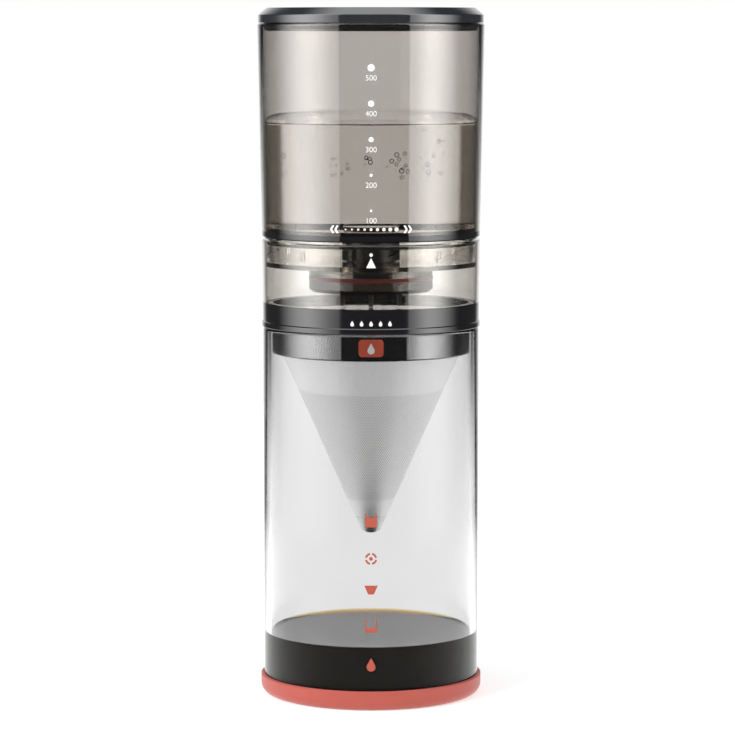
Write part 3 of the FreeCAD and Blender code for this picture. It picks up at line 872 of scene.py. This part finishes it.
def tank_marks():
    """Dots and figures up the front of the tank, and the flow scale at its foot."""
    for amount, height, radius in VOLUME_MARKS:
        dot = [circle(0, 0, radius)]
        white_print("mark_dot_%d" % amount, tank_r, height, "tank", outlines=dot)
        figures_z = height - FIGURES_BELOW
        white_print("mark_figures_%d" % amount, tank_r, figures_z, "tank", words=str(amount))
    outlines = chevrons(-1) + chevrons(1)
    for index in range(FLOW_DOTS):
        share = index / (FLOW_DOTS - 1)
        across = (index - (FLOW_DOTS - 1) / 2) * FLOW_DOT_SPACING
        outlines.append(circle(across, 0, FLOW_DOT_SMALLEST + FLOW_DOT_GROWTH * share))
    white_print("flow_scale", tank_r, FLOW_SCALE_Z, "tank", outlines=outlines)


# The collar's print, in millimetres
INDEX_Z = 192.0
INDEX_POINTER = [(-2.0, -2.6), (2.0, -2.6), (0.0, 1.6)]
INDEX_DOT_UP = 2.9
INDEX_DOT_R = 0.7
COLLAR_DROPS_Z = 166.0
COLLAR_DROPS = (-8.0, -4.0, 0.0, 4.0, 8.0)


def collar_marks():
    """The index that the tank's flow scale is read against, and a row of drops on the dark band."""
    index = [INDEX_POINTER, circle(0, INDEX_DOT_UP, INDEX_DOT_R)]
    white_print("collar_index", collar_r, INDEX_Z, "collar", outlines=index)
    row = [drop(across, up=-0.5, radius=0.75) for across in COLLAR_DROPS]
    white_print("collar_drops", collar_r, COLLAR_DROPS_Z, "collar", outlines=row)


def badge_mark():
    """A drop on the coral badge at the front of the filter's ring."""
    low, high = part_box("filter_badge")
    face_r = -low.y / MM
    middle_z = (low.z + high.z) / 2 / MM
    mark = [drop(0, up=-1.0, radius=1.5)]
    white_print("badge_drop", lambda height: face_r, middle_z, "filter", outlines=mark)


# The small pictures up the front of the glass, in millimetres
JAR_Z = 82.3
BREWING_Z = 65.8
FILTER_Z = 52.4
CUP_Z = 36.9
DROP_Z = 20.4
PICTURE_LINE = 0.55
FUNNEL = [(-2.9, 1.9), (2.9, 1.9), (1.2, -1.9), (-1.2, -1.9)]
BREWING_OUT = 2.6
BREWING_IN = 1.75
BREWING_DOT = 0.8
BREWING_GAP_DEG = 12


def vessel(half_width, half_height, level):
    """An open vessel in a thick line, filled up to a level."""
    inside = half_width - PICTURE_LINE
    return [
        (-half_width, -half_height),
        (half_width, -half_height),
        (half_width, half_height),
        (inside, half_height),
        (inside, level),
        (-inside, level),
        (-inside, half_height),
        (-half_width, half_height),
    ]


def brewing_ring():
    """A ring in four quarters about a dot."""
    outlines = []
    for quarter in range(4):
        start = math.radians(90 * quarter + BREWING_GAP_DEG)
        end = math.radians(90 * quarter + 90 - BREWING_GAP_DEG)
        outer = [(start + (end - start) * k / 10, BREWING_OUT) for k in range(11)]
        inner = [(angle, BREWING_IN) for angle, _ in reversed(outer)]
        outlines.append([(r * math.cos(angle), r * math.sin(angle)) for angle, r in outer + inner])
    return outlines + [circle(0, 0, BREWING_DOT)]


def glass_pictures():
    """Small coral pictures up the glass: a full jar, a brewing ring, a filter, a cup and a drop."""
    pictures = {
        "picture_jar": (JAR_Z, [vessel(2.4, 3.0, level=1.2)]),
        "picture_brewing": (BREWING_Z, brewing_ring()),
        "picture_filter": (FILTER_Z, [FUNNEL]),
        "picture_cup": (CUP_Z, [vessel(2.5, 2.8, level=-0.9)]),
        "picture_drop": (DROP_Z, [drop(0, up=-1.2, radius=1.9)]),
    }
    for name, (height, outlines) in pictures.items():
        mesh = ink_mesh(name, lambda z: GLASS_R, height, outlines=outlines)
        piece(name, mesh, FINISH["coral_ink"], "server")


def studio_pattern(sky, azimuth, elevation):
    """What shiny surfaces see: two tall soft boxes, a dark front, a pale back and a bright top."""
    left = sky.ramp(azimuth, LEFT_BOX_END, LEFT_BOX_PEAK) * (azimuth < LEFT_BOX_EDGE)
    left = left * sky.ramp(azimuth, LEFT_BOX_PEAK, LEFT_BOX_EDGE, 1.0, LEFT_EDGE_SHARE)
    right = sky.ramp(azimuth, RIGHT_BOX_PEAK, RIGHT_BOX_END, 1.0, 0.0) * (azimuth > RIGHT_BOX_EDGE)
    right = right * sky.ramp(azimuth, RIGHT_BOX_EDGE, RIGHT_BOX_PEAK, RIGHT_EDGE_SHARE, 1.0)
    away = sky.math("ABSOLUTE", azimuth)
    behind = sky.ramp(away, BACKDROP_FROM - BACKDROP_FADE, BACKDROP_FROM)
    level = FRONT_BRIGHTNESS + BOX_BRIGHTNESS * (left + right) + BACKDROP_BRIGHTNESS * behind
    overhead = sky.ramp(elevation, OVERHEAD_FROM, OVERHEAD_FROM + OVERHEAD_FADE)
    return level * (1.0 - overhead) + OVERHEAD_BRIGHTNESS * overhead


def studio_world():
    """White behind the object, soft light on matt surfaces, and the studio in shiny ones."""
    world = bpy.data.worlds.new("studio")
    bpy.context.scene.world = world
    sky = Finish(world)
    x, y, z = sky.parts(sky.add("TexCoord", output="Generated"))
    azimuth = sky.round_from_front(x, y)
    elevation = sky.math("ARCSINE", z) * math.degrees(1)
    shiny = sky.add("LightPath", output="Glossy Depth") > FIRST_GLOSSY
    plain = 1.0 - (1.0 - AMBIENT) * sky.add("LightPath", output="Is Diffuse Ray")
    strength = shiny * studio_pattern(sky, azimuth, elevation) + (1.0 - shiny) * plain
    sky.done(sky.add("Background", values={"Color": grey(1.0), "Strength": strength}))


def floor():
    """White paper, also through glass. Shiny surfaces see it pale close by, then the studio."""
    outline = [(0, 0), (FLOOR_R, 0), (FLOOR_R, -FLOOR_THICK), (0, -FLOOR_THICK)]
    mesh = lathe("floor", outline, segments=96)
    made = bpy.data.objects.new("floor", mesh)
    bpy.context.scene.collection.objects.link(made)
    finish = new_finish("floor_white")
    x, y = finish.place()[:2]
    azimuth = finish.round_from_front(x, y)
    away = finish.math("ABSOLUTE", azimuth)
    near = finish.ramp(away, FLOOR_FRONT_END, FLOOR_SIDES_FROM, FLOOR_FRONT, FLOOR_SIDES)
    distance = finish.math("SQRT", x * x + y * y)
    outward = finish.ramp(distance, FLOOR_NEAR * MM, FLOOR_FAR * MM)
    seen = near * (1.0 - outward) + studio_pattern(finish, azimuth, 0.0) * outward
    shiny = finish.add("LightPath", output="Glossy Depth") > FIRST_GLOSSY
    through = finish.add("LightPath", output="Is Transmission Ray") * (1.0 - shiny)
    paper = finish.add("BsdfDiffuse", values={"Color": grey(FLOOR_WHITE)})
    glow = finish.add("Emission", values={"Strength": FLOOR_GLOW})
    white = finish.add("AddShader", values={0: paper, 1: glow})
    reflected = finish.add("Emission", values={"Strength": seen * shiny + through})
    mixed = finish.add("MixShader", values={0: shiny + through, 1: white, 2: reflected})
    mesh.materials.append(finish.done(mixed))


def lamp(name, place, size, watts):
    """A soft rectangular lamp that lights the object but shows in nothing."""
    data = bpy.data.lights.new(name, "AREA")
    data.shape = "RECTANGLE"
    data.size, data.size_y = size
    data.energy = watts
    made = bpy.data.objects.new(name, data)
    bpy.context.scene.collection.objects.link(made)
    made.location = place
    aim = Vector(LAMP_AIM) - Vector(place)
    made.rotation_euler = aim.to_track_quat("-Z", "Y").to_euler()
    made.visible_glossy = False
    made.visible_camera = False
    made.visible_transmission = False


def camera():
    data = bpy.data.cameras.new("camera")
    data.lens = CAMERA_LENS
    data.sensor_width = CAMERA_SENSOR
    data.clip_end = CAMERA_REACH
    made = bpy.data.objects.new("camera", data)
    bpy.context.scene.collection.objects.link(made)
    made.location = CAMERA_PLACE
    made.rotation_euler = (math.radians(90 - CAMERA_TILT_DEG), 0, 0)
    bpy.context.scene.camera = made


def light_paths():
    """Enough bounces for glass, tinted plastic and liquid inside each other."""
    scene = bpy.context.scene
    scene.view_settings.view_transform = "Standard"
    scene.cycles.max_bounces = 24
    scene.cycles.transmission_bounces = 24
    scene.cycles.glossy_bounces = 12
    scene.cycles.diffuse_bounces = 3
    scene.cycles.transparent_max_bounces = 32
    scene.cycles.sample_clamp_indirect = 6
    scene.cycles.use_denoising = True
    scene.cycles.caustics_reflective = True
    scene.cycles.caustics_refractive = True


camera()
light_paths()
studio_world()
floor()
lamp("lamp_left", place=(-1.1, -0.9, 0.9), size=(0.9, 1.2), watts=23)
lamp("lamp_right", place=(1.2, -0.7, 0.8), size=(0.8, 1.2), watts=8)
dress_nodes()
shells_and_liquids()
bubbles()
tank_marks()
collar_marks()
badge_mark()
glass_pictures()
